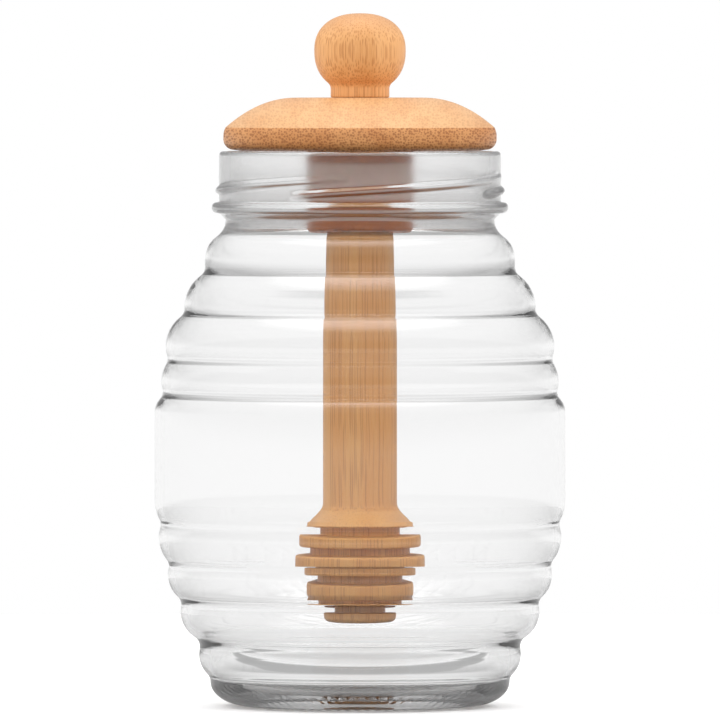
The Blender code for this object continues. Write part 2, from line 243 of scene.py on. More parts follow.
# %% Grid of points round the Z axis
def spin(name, radius, height, ring=False):
    """Surface whose point (i, j) is (r cos a, r sin a, h), with a = j turns / columns.

    The rows run up the outside of the piece, so that faces point outwards. A first or last row of
    radius 0 becomes one point. A ring's last row is joined to its first.
    """
    rows, columns = radius.shape
    azimuth = np.arange(columns) * math.tau / columns
    height = np.broadcast_to(height, radius.shape)
    points = np.stack([radius * np.cos(azimuth), radius * np.sin(azimuth), height], axis=-1)
    numbers = np.arange(rows * columns).reshape(rows, columns)
    bottom_closed = not ring and radius[0].max() < ONE_POINT
    top_closed = not ring and radius[-1].max() < ONE_POINT
    if bottom_closed:
        numbers[0] = numbers[0, 0]
    if top_closed:
        numbers[-1] = numbers[-1, 0]
    if ring:
        numbers = np.vstack([numbers, numbers[:1]])
    right = np.roll(numbers, -1, axis=1)
    sides = slice(int(bottom_closed), len(numbers) - 1 - int(top_closed))
    above = slice(sides.start + 1, sides.stop + 1)
    quads = np.stack([numbers[sides], right[sides], right[above], numbers[above]], axis=-1)
    faces = quads.reshape(-1, 4).tolist()
    if bottom_closed:
        faces += np.stack([numbers[0], right[1], numbers[1]], axis=-1).tolist()
    if top_closed:
        faces += np.stack([numbers[-2], right[-2], numbers[-1]], axis=-1).tolist()
    used, packed = np.unique(numbers, return_inverse=True)
    place_of = np.zeros(rows * columns, int)
    place_of[numbers.ravel()] = packed.ravel()
    faces = [place_of[face].tolist() for face in faces]
    mesh = bpy.data.meshes.new(name)
    mesh.from_pydata(points.reshape(-1, 3)[used], [], faces)
    mesh.shade_smooth()
    mesh.update()
    piece = bpy.data.objects.new(name, mesh)
    scene.collection.objects.link(piece)
    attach(piece, "root")
    triangles = sum(len(face) - 2 for face in faces)
    print(name, "triangles:", triangles)
    return piece


def turned(name, outline, columns, ring=False):
    """Plain turned piece: the same outline at every turn."""
    outline = without_repeats(np.asarray(outline))
    radius = np.repeat(outline[:, :1], columns, axis=1)
    return spin(name, radius, outline[:, 1:], ring)


# %% [markdown]
# ## Glass wall
#
# The outside is a stack of bulging rings with grooves between them, and one wide plain belt. Seen
# in section, each ring is an arc that stands upright at its crest, and a small round ball fills each
# groove, touching both arcs. That way the glass has no crease anywhere, as pressed glass has none.

# %% Rings and grooves, as in the CAD model
# a ring: upper and lower end of its straight part (one height, if it has none), and its radius
# a groove: height and radius of its bottom, before the fillet
RINGS = (
    (0.1020, 0.1002, 0.0354),
    (0.0910, 0.0910, 0.0401),
    (0.0820, 0.0820, 0.0444),
    (0.0740, 0.0740, 0.0454),
    (0.0672, 0.0467, 0.0469),
    (0.0385, 0.0385, 0.0460),
    (0.0300, 0.0300, 0.0439),
    (0.0214, 0.0214, 0.0410),
    (0.0117, 0.0117, 0.0368),
    (0.0054, 0.0054, 0.0342),
)
GROOVES = (
    (0.0991, 0.0348),
    (0.0896, 0.0397),
    (0.0790, 0.0436),
    (0.0709, 0.0444),
    (0.0416, 0.0453),
    (0.0324, 0.0433),
    (0.0240, 0.0404),
    (0.0149, 0.0361),
    (0.0064, 0.0339),
)
GROOVE_FILLET = 0.0025
RING_SPACING = 0.0014
FILLET_SPACING = 0.0004


def upright_circle(height, radius, through):
    """Centre and radius of the circle that stands upright at (radius, height) and passes a point."""
    other_height, other_radius = through
    bulge = radius - other_radius
    rise = abs(height - other_height)
    size = (bulge**2 + rise**2) / (2 * bulge)
    return np.array([radius - size, height]), size


def angle_of(vector):
    """Angle of a (radius, height) direction."""
    return math.atan2(vector[1], vector[0])


def ball_in_groove(centre_a, size_a, centre_b, size_b):
    """Centre of the fillet: it is size_a + fillet from one centre and size_b + fillet from the other."""
    apart = np.linalg.norm(centre_b - centre_a)
    along = (centre_b - centre_a) / apart
    across = np.array([-along[1], along[0]])
    across = across * np.sign(across[0])
    reach_a = size_a + GROOVE_FILLET
    reach_b = size_b + GROOVE_FILLET
    forward = (reach_a**2 - reach_b**2 + apart**2) / (2 * apart)
    return centre_a + forward * along + math.sqrt(reach_a**2 - forward**2) * across


def groove_outline(upper, lower, groove):
    """From the crest of the upper ring, round the groove's ball, to the crest of the lower ring."""
    centre_a, size_a = upright_circle(upper[1], upper[2], groove)
    centre_b, size_b = upright_circle(lower[0], lower[2], groove)
    ball = ball_in_groove(centre_a, size_a, centre_b, size_b)
    leave = angle_of(ball - centre_a)
    arrive = angle_of(ball - centre_b)
    return np.concatenate(
        [
            arc(centre_a, size_a, 0, leave, RING_SPACING),
            arc(ball, GROOVE_FILLET, leave + math.pi, arrive + math.pi, FILLET_SPACING),
            arc(centre_b, size_b, arrive, 0, RING_SPACING),
        ]
    )


rings_outline = np.concatenate([groove_outline(*pair) for pair in zip(RINGS, RINGS[1:], GROOVES)])
print("points down the ringed wall:", len(rings_outline))

# %% [markdown]
# The neck is upright with a rounded rim, and a bead runs round its foot. Under the bead the glass is
# hollow, then rolls out into the first ring.

# %% Neck, bead and shoulder
SHOULDER_ARC = 0.0063
WAIST_HEIGHT = 0.1110
WAIST_RADIUS = 0.0307
BEAD_HEIGHT = 0.1137
BEAD_RADIUS = 0.0339
BEAD_ROUND = 0.0013
BEAD_TURN = (math.radians(60), math.radians(-110))
NECK_RADIUS = 0.0322
NECK_ROWS = 36
JAR_HEIGHT = 0.1266
RIM_ROUND = 0.0010
NECK_WALL = 0.0026

shoulder_top, _, shoulder_radius = RINGS[0]
shoulder_centre = np.array([shoulder_radius - SHOULDER_ARC, shoulder_top])
inward = WAIST_RADIUS - shoulder_centre[0]
rise = WAIST_HEIGHT - shoulder_top
hollow = (inward**2 + rise**2 - SHOULDER_ARC**2) / (2 * (SHOULDER_ARC - inward))
hollow_centre = np.array([WAIST_RADIUS + hollow, WAIST_HEIGHT])
turn = angle_of(hollow_centre - shoulder_centre)
shoulder_outline = np.concatenate(
    [
        arc(hollow_centre, hollow, math.pi, math.pi + turn, FILLET_SPACING * 2),
        arc(shoulder_centre, SHOULDER_ARC, turn, 0, RING_SPACING),
    ]
)
rim_top = JAR_HEIGHT - RIM_ROUND
rim_inner = (NECK_RADIUS - NECK_WALL + RIM_ROUND, rim_top)
rim_outer = (NECK_RADIUS - RIM_ROUND, rim_top)
bead_centre = np.array([BEAD_RADIUS - BEAD_ROUND, BEAD_HEIGHT])
thread_heights = np.linspace(rim_top, BEAD_HEIGHT + BEAD_ROUND, NECK_ROWS)
thread_face = np.stack([np.full(NECK_ROWS, NECK_RADIUS), thread_heights], axis=1)
neck_outline = np.concatenate(
    [
        arc(rim_inner, RIM_ROUND, math.pi, math.pi / 2, FILLET_SPACING),
        arc(rim_outer, RIM_ROUND, math.pi / 2, 0, FILLET_SPACING),
        thread_face[1:],
        arc(bead_centre, BEAD_ROUND, *BEAD_TURN, FILLET_SPACING),
    ]
)
print("points down neck and shoulder:", len(neck_outline) + len(shoulder_outline))

# %% [markdown]
# The heel rolls under to a ring that the jar stands on. Glassworks knurl that ring, because a flat
# one would be scratched and weaken the glass. Inside it the base is pushed up a little.

# %% Foot
FOOT_OUTER_RADIUS = 0.0255
FOOT_INNER_RADIUS = 0.0225
HEEL_ROWS = 12
STANDING_ROWS = 5
PUSH_UP = 0.0036
PUSH_UP_POWER = 4
PUSH_UP_SHARES = np.array([0.97, 0.93, 0.87, 0.78, 0.66, 0.5, 0.25, 0])

heel_height, _, heel_radius = RINGS[-1]
turns = np.linspace(0, math.pi / 2, HEEL_ROWS)[1:]
heel = np.stack(
    [
        FOOT_OUTER_RADIUS + (heel_radius - FOOT_OUTER_RADIUS) * np.cos(turns),
        heel_height - heel_height * np.sin(turns),
    ],
    axis=1,
)
standing_ring = np.linspace((FOOT_OUTER_RADIUS, 0), (FOOT_INNER_RADIUS, 0), STANDING_ROWS)[1:]
push_up_height = PUSH_UP * (1 - PUSH_UP_SHARES**PUSH_UP_POWER)
push_up = np.stack([FOOT_INNER_RADIUS * PUSH_UP_SHARES, push_up_height], axis=1)
foot_outline = np.concatenate([heel, standing_ring, push_up])
print("points under the foot:", len(foot_outline))

# %% [markdown]
# Inside, the glass follows the rings, because the wall is blown against the mould and is about as
# thick everywhere. So the inside is the outside averaged over a short distance, less the wall's
# thickness, at the same heights. With an even wall the dipper shows undistorted between the
# grooves, and only the grooves bend its image. Hot glass sags: below the eighth ring the wall soon
# gets thicker, and that step shows as faint grey lines. The shoulder, which is stretched most, is
# thinnest, and the neck, which is pressed before the rest is blown, is thick.

# %% Inside of the glass
WALL = 0.0015
SHOULDER_WALL = 0.0012
INSIDE_SOFTNESS = 0.0003
SHOULDER_SOFTNESS = 0.0006
LOW_SOFTNESS = 0.0010
LOW_WALL = 0.0022
LOW_BLEND = (0.0182, 0.0160)
SHOULDER_BLEND = (0.0930, 0.0970)
NECK_BLEND = (0.1090, 0.1150)
SLICE = 0.00005
BELL_REACH = 4
FLOOR_HEIGHT = 0.0035
FLOOR_DOME = 0.0014
FLOOR_CORNER = 0.0041
FLOOR_SHARES = np.array([0, 0.25, 0.5, 0.75, 0.9])

plain_neck = np.array([(NECK_RADIUS, JAR_HEIGHT), (NECK_RADIUS, BEAD_HEIGHT)])
plain_side = np.concatenate([plain_neck, shoulder_outline, rings_outline])[::-1]
slices = np.arange(0, JAR_HEIGHT + 2 * BELL_REACH * LOW_SOFTNESS, SLICE)
outer = np.interp(slices, plain_side[:, 1], plain_side[:, 0])


def averaged(softness):
    """Outside radius of each slice, averaged with a bell curve that is softness wide."""
    offsets = np.arange(-BELL_REACH * softness, BELL_REACH * softness, SLICE)
    weight = np.exp(-0.5 * (offsets / softness) ** 2)
    return np.convolve(outer, weight / weight.sum(), mode="same")


def smooth_step(start, end):
    """Share of each slice that goes from 0 to 1 between two heights: t t (3 - 2 t)."""
    part = np.clip((slices - start) / (end - start), 0, 1)
    return part * part * (3 - 2 * part)


low = smooth_step(*LOW_BLEND)
shoulder = smooth_step(*SHOULDER_BLEND)
neck = smooth_step(*NECK_BLEND)
thickness = WALL + (LOW_WALL - WALL) * low + (SHOULDER_WALL - WALL) * shoulder
thickness += (NECK_WALL - SHOULDER_WALL) * neck
soft_wall = averaged(INSIDE_SOFTNESS) * (1 - low - shoulder) - thickness
soft_wall += averaged(LOW_SOFTNESS) * low + averaged(SHOULDER_SOFTNESS) * shoulder
corner_height = FLOOR_HEIGHT + FLOOR_CORNER
corner_radius = float(np.interp(corner_height, slices, soft_wall))
corner_centre = np.array([corner_radius - FLOOR_CORNER, corner_height])
corner = arc(corner_centre, FLOOR_CORNER, -math.pi / 2, 0, RING_SPACING)
floor_height = FLOOR_HEIGHT + FLOOR_DOME * (1 - FLOOR_SHARES**2)
floor = np.stack([corner_centre[0] * FLOOR_SHARES, floor_height], axis=1)
wall_heights = plain_side[(plain_side[:, 1] > corner_height) & (plain_side[:, 1] < rim_top), 1]
wall_face = np.stack([np.interp(wall_heights, slices, soft_wall), wall_heights], axis=1)
inside_outline = np.concatenate([floor, corner, wall_face])
print("points up the inside:", len(inside_outline))

# %% [markdown]
# The thread is four lugs, a quarter turn apart, as on a twist-off jar. Each lug is a ridge that
# climbs as it goes round and fades out.

# %% Thread lugs and knurls
LUGS = 4
LUG_START = math.radians(-30)
LUG_SPAN = math.radians(115)
LUG_LOW = 0.1166
LUG_CLIMB = 0.0128
LUG_HALF_HEIGHT = 0.0011
LUG_DEPTH = 0.0017
LUG_ROUNDNESS = 1.3
LUG_FADED = 0.16
LUG_FADE_POWER = 0.42
LUG_LEAD_IN = math.radians(20)
COLUMNS = 300
KNURLS = 75
KNURL_DEPTH = 0.00028
KNURL_REACH = 0.0042
KNURL_HEIGHT = 0.0015


def lug_depth(azimuth, height):
    """Ridge depth: a power of cos across the lug, times a fade along it and a lead-in at its low end."""
    depth = np.zeros(np.broadcast_shapes(azimuth.shape, height.shape))
    for lug in range(LUGS):
        along = np.mod(azimuth - LUG_START - lug * math.tau / LUGS, math.tau)
        middle = LUG_LOW + LUG_CLIMB * along / math.tau
        part = np.clip((height - middle) / LUG_HALF_HEIGHT, -1, 1)
        across = np.cos(math.pi / 2 * part) ** LUG_ROUNDNESS
        fade = 1 + (LUG_FADED - 1) * np.clip(along / LUG_SPAN, 0, 1) ** LUG_FADE_POWER
        lead_in = np.clip(along / LUG_LEAD_IN, 0, 1)
        depth = np.maximum(depth, LUG_DEPTH * across * fade * lead_in * (along <= LUG_SPAN))
    return depth


def knurl_rise(azimuth, radius, height):
    """Knurls lift the standing ring: depth (1 - cos(knurls a)) / 2, strongest in its middle."""
    middle = (FOOT_OUTER_RADIUS + FOOT_INNER_RADIUS) / 2
    across = np.clip(1 - np.abs(radius - middle) / KNURL_REACH, 0, 1)
    lowness = np.clip(1 - height / KNURL_HEIGHT, 0, 1)
    wave = (1 - np.cos(KNURLS * azimuth)) / 2
    return KNURL_DEPTH * wave * np.sqrt(across) * lowness


# %% The jar: outside, rim and inside in one surface
outside = np.concatenate([neck_outline, shoulder_outline, rings_outline, foot_outline])[::-1]
outside = without_repeats(outside)
outline = without_repeats(np.concatenate([outside, inside_outline[::-1]]))
azimuth = np.arange(COLUMNS) * math.tau / COLUMNS
row_radius = outline[:, :1]
row_height = outline[:, 1:]
on_outside = (np.arange(len(outline)) < len(outside))[:, None]
on_neck = on_outside & (np.abs(row_radius - NECK_RADIUS) < ONE_POINT)
jar_radius = row_radius + on_neck * lug_depth(azimuth, row_height)
jar_height = row_height + on_outside * knurl_rise(azimuth, row_radius, row_height)
jar = spin("glass_shell", jar_radius, jar_height)
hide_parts("glass_jar")

# %% [markdown]
# ## Bamboo pieces
#
# Lid, knob, boss and dipper are turned from bamboo and sanded, so their corners are eased, not
# sharp. The lid has a rounded side, an arris, and a dome with a flat middle for the knob. The dome
# falls by a power of the way out, and its rows lie closest at the arris, so that it reads as a line.

# %% Lid
TURNED_COLUMNS = 160
SEAT_GAP = 0.00004
LID_BOTTOM = JAR_HEIGHT + SEAT_GAP
LID_TOP = 0.1388
LID_RADIUS = 0.0312
LID_WIDEST = 0.1300
LID_ARRIS = (0.0307, 0.1320)
LID_CORNER = 0.0024
LID_CORNER_DROP = 0.0007
UNDERSIDE_FLAT = 0.0270
ARRIS_SPACING = 0.00015
LID_FLAT_TOP = 0.0145
DOME_POWER = 2.1
DOME_STEPS = 26
DOME_CROWDING = 1.5
FLAT_TOP_ROWS = 8

under_corner = np.array([LID_RADIUS - LID_CORNER, LID_WIDEST - LID_CORNER_DROP])
side_centre, side_size = upright_circle(LID_WIDEST, LID_RADIUS, LID_ARRIS[::-1])
side_turn = angle_of(np.array(LID_ARRIS) - side_centre)
share = 1 - np.linspace(0, 1, DOME_STEPS) ** DOME_CROWDING
dome_radius = LID_FLAT_TOP + (LID_ARRIS[0] - LID_FLAT_TOP) * share
dome_height = LID_TOP - (LID_TOP - LID_ARRIS[1]) * share**DOME_POWER
lid_outline = np.concatenate(
    [
        [(0, LID_BOTTOM), (UNDERSIDE_FLAT, LID_BOTTOM)],
        arc(under_corner, LID_CORNER, -math.pi / 2, 0, FILLET_SPACING),
        arc(side_centre, side_size, 0, side_turn, ARRIS_SPACING),
        np.stack([dome_radius, dome_height], axis=1),
        np.linspace((LID_FLAT_TOP, LID_TOP), (0, LID_TOP), FLAT_TOP_ROWS)[1:],
    ]
)
lid = turned("turned_lid", lid_outline, TURNED_COLUMNS)
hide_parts("lid")

# %% [markdown]
# The knob is a ball that is a little flatter than a sphere, on a short neck. A superellipse gives
# the fuller cheeks. A thin line of shadow stays where the neck meets the lid.

# %% Knob
KNOB_RADIUS = 0.01044
KNOB_MIDDLE = 0.14955
KNOB_ABOVE = 0.0085
KNOB_BELOW = 0.0095
KNOB_POWER = 2.3
KNOB_NECK_RADIUS = 0.0067
KNOB_NECK_TOP = 0.1414
KNOB_FOOT_EASE = 0.00035
KNOB_COVE = 0.0006
KNOB_ROWS = 64
COVE_ROW = 2


def ball_outline(start, count):
    """Superellipse |r/R|^p + |z/H|^p = 1, from an angle above its lowest point up to its top."""
    turns = np.linspace(start, math.pi, count)
    side = np.abs(np.sin(turns)) ** (2 / KNOB_POWER)
    side[-1] = 0
    level = -np.sign(np.cos(turns)) * np.abs(np.cos(turns)) ** (2 / KNOB_POWER)
    reach = np.where(level < 0, KNOB_BELOW, KNOB_ABOVE)
    return np.stack([KNOB_RADIUS * side, KNOB_MIDDLE + reach * level], axis=1)


neck_turn = math.asin((KNOB_NECK_RADIUS / KNOB_RADIUS) ** (KNOB_POWER / 2))
ball = ball_outline(neck_turn, KNOB_ROWS)
knob_corners = [
    (0, LID_TOP + SEAT_GAP),
    (KNOB_NECK_RADIUS, LID_TOP + SEAT_GAP),
    (KNOB_NECK_RADIUS, KNOB_NECK_TOP),
    ball[COVE_ROW],
]
knob_foot = eased(knob_corners, (KNOB_FOOT_EASE, KNOB_COVE))
knob_outline = np.concatenate([knob_foot, ball[COVE_ROW + 1 :]])
knob = turned("turned_knob", knob_outline, TURNED_COLUMNS)
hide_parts("knob")

# %% [markdown]
# Under the lid a plug, the boss, reaches into the neck. A ring of milky silicone sits flush in a
# recess round it. The dipper's stick hangs from the boss.

# %% Boss and its silicone sleeve
BOSS_RADIUS = 0.0122
BOSS_BOTTOM = 0.1094
BOSS_ROUND = 0.0018
BOSS_EASE = 0.0002
RECESS_EASE = 0.0001
SLEEVE_TOP = 0.1232
SLEEVE_BOTTOM = 0.1148
SLEEVE_THICKNESS = 0.0012
SLEEVE_EASE = 0.00025

recess = BOSS_RADIUS - SLEEVE_THICKNESS - SEAT_GAP
boss_corners = [
    (0, BOSS_BOTTOM),
    (BOSS_RADIUS, BOSS_BOTTOM),
    (BOSS_RADIUS, SLEEVE_BOTTOM),
    (recess, SLEEVE_BOTTOM),
    (recess, SLEEVE_TOP),
    (BOSS_RADIUS, SLEEVE_TOP),
    (BOSS_RADIUS, LID_BOTTOM - SEAT_GAP),
    (0, LID_BOTTOM - SEAT_GAP),
]
boss_eases = (BOSS_ROUND, BOSS_EASE, RECESS_EASE, RECESS_EASE, BOSS_EASE, RECESS_EASE)
boss = turned("turned_boss", eased(boss_corners, boss_eases), TURNED_COLUMNS)
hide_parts("lid_boss")

inner = BOSS_RADIUS - SLEEVE_THICKNESS
sleeve_corners = [
    (inner, SLEEVE_BOTTOM + SEAT_GAP),
    (BOSS_RADIUS, SLEEVE_BOTTOM + SEAT_GAP),
    (BOSS_RADIUS, SLEEVE_TOP - SEAT_GAP),
    (inner, SLEEVE_TOP - SEAT_GAP),
]
sleeve = turned("silicone_ring", eased(sleeve_corners, SLEEVE_EASE), TURNED_COLUMNS, ring=True)
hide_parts("seal_sleeve")

# %% [markdown]
# The dipper is one turned stick. It tapers slightly and flares out to a rim. Under a short neck
# comes the head, cut into discs by narrow grooves that hold the honey. Sanding leaves the discs'
# edges round.

# %% Dipper
STICK_TOP_RADIUS = 0.0075
STICK_RADIUS = 0.00845
STICK_TAPER_END = 0.0830
STICK_FOOT = 0.0465
FLARE_TOP = 0.0423
FLARE_RADIUS = 0.0124
FLARE_RIM = 0.0012
FLARE_POWER = 2.5
FLARE_START = 0.95
FLARE_ROWS = 14
HEAD_NECK_RADIUS = 0.0091
DISC_RADII = (0.0139, 0.0148, 0.0127, 0.0122, 0.0120, 0.0083)
DISC_THICKNESS = 0.0020
DISC_PITCH = 0.00345
DISC_EASE = 0.00055
FIRST_DISC = 0.0372
DISC_GROOVE = 0.0025
GROOVE_EASE = 0.0003
TIP_EASE = 0.0014
EASE_STEPS = 5

cores = [HEAD_NECK_RADIUS] + [min(pair) - DISC_GROOVE for pair in zip(DISC_RADII, DISC_RADII[1:])]
tip_height = FIRST_DISC - (len(DISC_RADII) - 1) * DISC_PITCH - DISC_THICKNESS / 2
corners = [(0, tip_height)]
eases = []
for index in range(len(DISC_RADII) - 1, -1, -1):
    bottom = FIRST_DISC - index * DISC_PITCH - DISC_THICKNESS / 2
    top = bottom + DISC_THICKNESS
    groove_top = top + DISC_PITCH - DISC_THICKNESS if index else FLARE_TOP - FLARE_RIM
    corners += [(DISC_RADII[index], bottom), (DISC_RADII[index], top)]
    corners += [(cores[index], top), (cores[index], groove_top)]
    eases += [DISC_EASE, DISC_EASE, GROOVE_EASE, GROOVE_EASE]
eases[0] = TIP_EASE
corners += [(FLARE_RADIUS, FLARE_TOP - FLARE_RIM), (FLARE_RADIUS, FLARE_TOP)]
head = eased(corners, [*eases, DISC_EASE], EASE_STEPS)
share = np.linspace(FLARE_START, 0, FLARE_ROWS)[:, None] ** np.array([FLARE_POWER, 1])
flare_size = np.array([FLARE_RADIUS - STICK_RADIUS, FLARE_TOP - STICK_FOOT])
flare = np.array([STICK_RADIUS, STICK_FOOT]) + share * flare_size
stick = [(STICK_RADIUS, STICK_TAPER_END), (STICK_TOP_RADIUS, BOSS_BOTTOM), (0, BOSS_BOTTOM)]
dipper_outline = np.concatenate([head[:-1], flare, stick])
dipper = turned("turned_dipper", dipper_outline, TURNED_COLUMNS)
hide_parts("dipper")

# %% [markdown]
# ## Clear glass
#
# Glass is fully transmissive, smooth and bends light by 1.5. A faint grey absorption inside the wall
# darkens the places where one looks through much glass, at the sides, the neck and the base. The
# neck's inside is faintly uneven, too finely to model, so it alone gets some roughness: the edges of
# the boss look soft through it, as in the photograph, while the thread outside stays crisp.

# %% Glass material
GLASS_IOR = 1.5
GLASS_ABSORPTION = 21.0
NECK_HAZE = 0.24
HAZE_HEIGHTS = (0.103, 0.112)
HAZE_RADII = (0.0302, 0.0298)

glass = bpy.data.materials.new("clear_pressed_glass")
glass.use_nodes = True
tree = glass.node_tree
shader = tree.nodes["Principled BSDF"]
shader.inputs["Base Color"].default_value = (1, 1, 1, 1)
shader.inputs["IOR"].default_value = GLASS_IOR
shader.inputs["Transmission Weight"].default_value = 1.0
absorption = add_node(tree, "ShaderNodeVolumeAbsorption", {"Density": GLASS_ABSORPTION})
absorption.inputs["Color"].default_value = (0.0, 0.0, 0.0, 1)
tree.links.new(absorption.outputs[0], tree.nodes["Material Output"].inputs["Volume"])
place = add_node(tree, "ShaderNodeTexCoord").outputs["Object"]
level = add_node(tree, "ShaderNodeSeparateXYZ", {0: place}).outputs["Z"]
sideways = add_node(tree, "ShaderNodeVectorMath", {0: place, 1: (1, 1, 0)}, operation="MULTIPLY")
axis_distance = add_node(tree, "ShaderNodeVectorMath", {0: sideways.outputs[0]}, operation="LENGTH")
on_inside = ramp(tree, axis_distance.outputs["Value"], *HAZE_RADII)
haze = ramp(tree, level, *HAZE_HEIGHTS, 0.0, NECK_HAZE)
tree.links.new(calculate(tree, "MULTIPLY", on_inside, haze), shader.inputs["Roughness"])
jar.data.materials.append(glass)
print("glass: IOR", GLASS_IOR, "absorption per metre", GLASS_ABSORPTION)

# %% [markdown]
# ## Bamboo
#
# Bamboo is a bundle of straight fibres in a pale filling. Cut across, the bundles show as small
# brown dots. Cut along, the same bundles show as long thin streaks. One pattern gives both: dots
# scattered over a plane and carried straight along the third direction. It is a node group, because
# lid, knob, boss and dipper all use it, each turned its own way.

# %% Helpers for noise and vectors
def noise(tree, vector, scale, detail):
    """Noise node over a vector."""
    return add_node(tree, "ShaderNodeTexNoise", {"Vector": vector, "Scale": scale, "Detail": detail})


def vector_math(tree, operation, first, second):
    """Output of a Vector Math node with two inputs."""
    node = add_node(tree, "ShaderNodeVectorMath", {0: first, 1: second}, operation=operation)
    return node.outputs["Vector"]


# %% Node group for the fibres
FIBRE_SCATTER = 0.8
WANDER_SCALE = 70.0
WANDER_SHIFT = (0.0008, 0.0008, 0.0)
NOISE_MIDDLE = (0.5, 0.5, 0.5)
SMALLEST_DOT = 0.5
DOT_EDGE = 0.12
STREAKS_PER_FIBRE = 2.2
TONE_SCALE = 160.0
FIBRE_INPUTS = {"Spacing": 0.0009, "Dot Size": 0.26, "Along": 0.06}


def make_fibres():
    """Group: dots (0 to 1), a fine streak tone and a broad tone, with the fibres along Z."""
    group = bpy.data.node_groups.new("bamboo_fibres", "ShaderNodeTree")
    interface = group.interface
    interface.new_socket("Vector", in_out="INPUT", socket_type="NodeSocketVector")
    for name, value in FIBRE_INPUTS.items():
        socket = interface.new_socket(name, in_out="INPUT", socket_type="NodeSocketFloat")
        socket.default_value = value
    for name in ("Dots", "Streaks", "Tone"):
        interface.new_socket(name, in_out="OUTPUT", socket_type="NodeSocketFloat")
    given = group.nodes.new("NodeGroupInput").outputs
    wander = noise(group, given["Vector"], WANDER_SCALE, 1.0)
    centred = vector_math(group, "SUBTRACT", wander.outputs["Color"], NOISE_MIDDLE)
    shift = vector_math(group, "MULTIPLY", centred, WANDER_SHIFT)
    moved = vector_math(group, "ADD", shift, given["Vector"])
    squeeze = add_node(group, "ShaderNodeCombineXYZ", {0: 1.0, 1: 1.0, 2: given["Along"]})
    fibre = vector_math(group, "MULTIPLY", moved, squeeze.outputs[0])
    per_metre = calculate(group, "DIVIDE", 1.0, given["Spacing"])
    cells = add_node(
        group,
        "ShaderNodeTexVoronoi",
        {"Vector": moved, "Scale": per_metre, "Randomness": FIBRE_SCATTER},
        voronoi_dimensions="2D",
    )
    chance = add_node(group, "ShaderNodeSeparateColor", {0: cells.outputs["Color"]}).outputs[0]
    size = calculate(group, "ADD", chance, SMALLEST_DOT)
    edge = calculate(group, "MULTIPLY", given["Dot Size"], size)
    nearness = calculate(group, "SUBTRACT", edge, cells.outputs["Distance"])
    dots = ramp(group, nearness, -DOT_EDGE, DOT_EDGE)
    streaks_per_metre = calculate(group, "MULTIPLY", per_metre, STREAKS_PER_FIBRE)
    streaks = noise(group, fibre, streaks_per_metre, 2.0)
    broad = noise(group, fibre, TONE_SCALE, 2.0)
    result = group.nodes.new("NodeGroupOutput").inputs
    group.links.new(dots, result["Dots"])
    group.links.new(streaks.outputs["Fac"], result["Streaks"])
    group.links.new(broad.outputs["Fac"], result["Tone"])
    return group


fibres = make_fibres()
print("fibre group's nodes:", len(fibres.nodes))


# %% Bamboo finishes
def linear(red, green, blue):
    """Linear colour of an sRGB colour given as 0 to 255: ((c / 255 + 0.055) / 1.055) ^ 2.4."""
    return [((channel / 255 + 0.055) / 1.055) ** 2.4 for channel in (red, green, blue)] + [1]


def mix_colours(tree, share, first, second):
    """Output that goes from the first colour to the second as share goes from 0 to 1."""
    # the Mix node's sockets for colours are inputs 6 and 7 and output 2
    node = add_node(tree, "ShaderNodeMix", {0: share, 6: first, 7: second}, data_type="RGBA")
    return node.outputs[2]


def make_bamboo(name, pale, warm, dot, top, turn, spacing, dot_size, marks, top_marks, top_faces):
    """Satin bamboo: pale and warm mixed by the tones, darkened to the dot colour at the bundles.

    Marks is the strength of the dots. On faces that look up, the ground goes to the top colour and the
    strength to top_marks, while the normal's Z goes through top_faces. The top colour is painted
    light: where it is lighter than the ground it is a painted highlight, where darker, painted shade.
    """
    material = bpy.data.materials.new(name)
    material.use_nodes = True
    tree = material.node_tree
    place = add_node(tree, "ShaderNodeTexCoord").outputs["Object"]
    turned_place = add_node(tree, "ShaderNodeMapping", {"Vector": place, "Rotation": turn}).outputs[0]
    pattern = tree.nodes.new("ShaderNodeGroup")
    pattern.node_tree = fibres
    tree.links.new(turned_place, pattern.inputs["Vector"])
    pattern.inputs["Spacing"].default_value = spacing
    pattern.inputs["Dot Size"].default_value = dot_size
    tone = ramp(tree, pattern.outputs["Tone"], *NOISE_RANGE, 0.0, BROAD_SHARE)
    streak = ramp(tree, pattern.outputs["Streaks"], *NOISE_RANGE, 0.0, 1 - BROAD_SHARE)
    grain_tone = calculate(tree, "ADD", tone, streak)
    facing = add_node(tree, "ShaderNodeTexCoord").outputs["Normal"]
    upward = add_node(tree, "ShaderNodeSeparateXYZ", {0: facing}).outputs["Z"]
    # painted light: faces that look up take the top colour, a painted highlight where it is lighter and
    # painted shade where it is darker
    painted_top_light_share = ramp(tree, upward, *top_faces)
    painted_top_light = mix_colours(tree, calculate(tree, "MULTIPLY", grain_tone, TOP_TONE), top, warm)
    ground = mix_colours(tree, painted_top_light_share, mix_colours(tree, grain_tone, pale, warm), painted_top_light)
    strength = ramp(tree, painted_top_light_share, 0.0, 1.0, marks, top_marks)
    marked = calculate(tree, "MULTIPLY", pattern.outputs["Dots"], strength)
    colour = mix_colours(tree, marked, ground, dot)
    shader = tree.nodes["Principled BSDF"]
    tree.links.new(colour, shader.inputs["Base Color"])
    tree.links.new(ramp(tree, marked, 0.0, 1.0, *SATIN_ROUGHNESS), shader.inputs["Roughness"])
    grain = calculate(tree, "SUBTRACT", pattern.outputs["Streaks"], marked)
    relief = {"Height": grain, "Strength": RELIEF_STRENGTH, "Distance": RELIEF_DEPTH}
    bump = add_node(tree, "ShaderNodeBump", relief)
    tree.links.new(bump.outputs[0], shader.inputs["Normal"])
    shader.inputs["Specular IOR Level"].default_value = SATIN_SPECULAR
    return material


